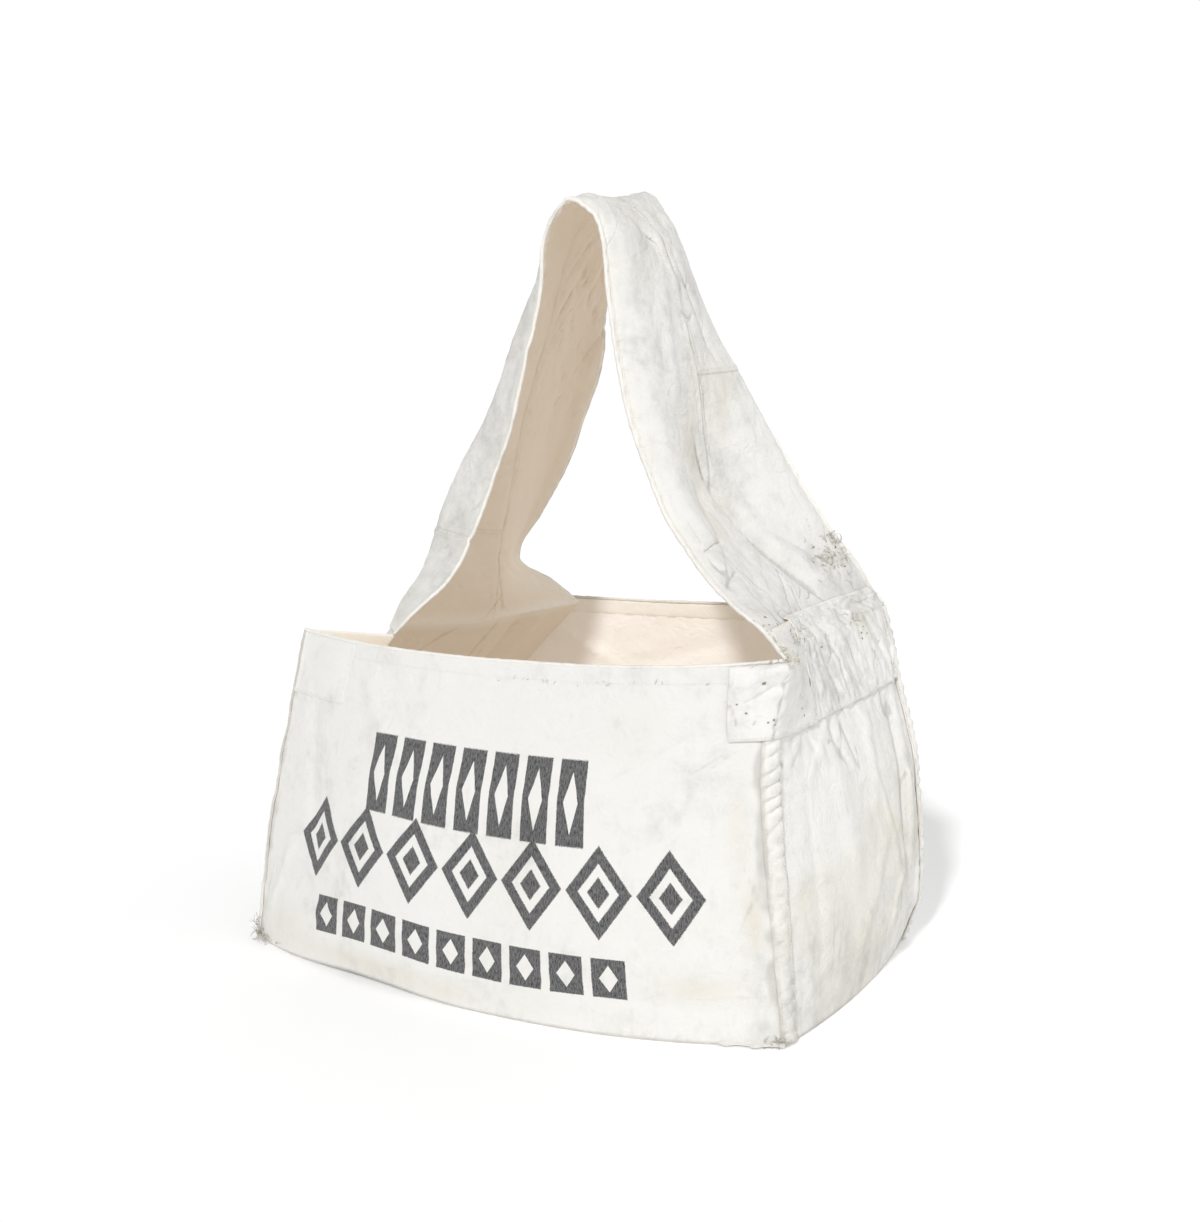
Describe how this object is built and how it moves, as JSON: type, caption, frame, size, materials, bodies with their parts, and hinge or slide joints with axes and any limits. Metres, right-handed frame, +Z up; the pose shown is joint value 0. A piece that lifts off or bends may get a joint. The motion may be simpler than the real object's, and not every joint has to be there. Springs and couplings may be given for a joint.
{
  "type": "newspaper delivery bag",
  "caption": "Wide open-top canvas delivery bag with box-shaped body and one broad arched shoulder strap cut in one with the end gussets, standing on its base.",
  "frame": {"origin": "middle of the footprint of the whole bag, on the surface it stands on", "axes": "+Z up along the strap's rise, +X along the front towards the corner under the strap's outer leg, -Y out of the printed front"},
  "size_m": [0.6434, 0.4358, 0.7926],
  "materials": {
    "canvas_white": "washed, matt cotton canvas",
    "canvas_worn": "weathered grey cotton canvas, doubled on the strap",
    "seam_cream": "folded and stitched canvas edge"
  },
  "bodies": {
    "root": {"front_panel": "canvas_white", "back_panel": "canvas_white", "front_left_patch": "canvas_white", "bottom_panel": "canvas_worn", "right_gusset": "canvas_worn", "left_gusset": "canvas_worn", "strap_front_half": "canvas_worn", "strap_front_left_end": "canvas_worn", "strap_back_half": "canvas_worn", "strap_back_right_end": "canvas_worn", "right_base_band": "canvas_worn", "front_right_patch": "canvas_worn", "front_hem": "seam_cream", "back_hem": "seam_cream", "front_right_corner_seam": "seam_cream", "front_left_corner_seam": "seam_cream", "back_right_corner_seam": "seam_cream", "back_left_corner_seam": "seam_cream"}
  },
  "joints": []
}
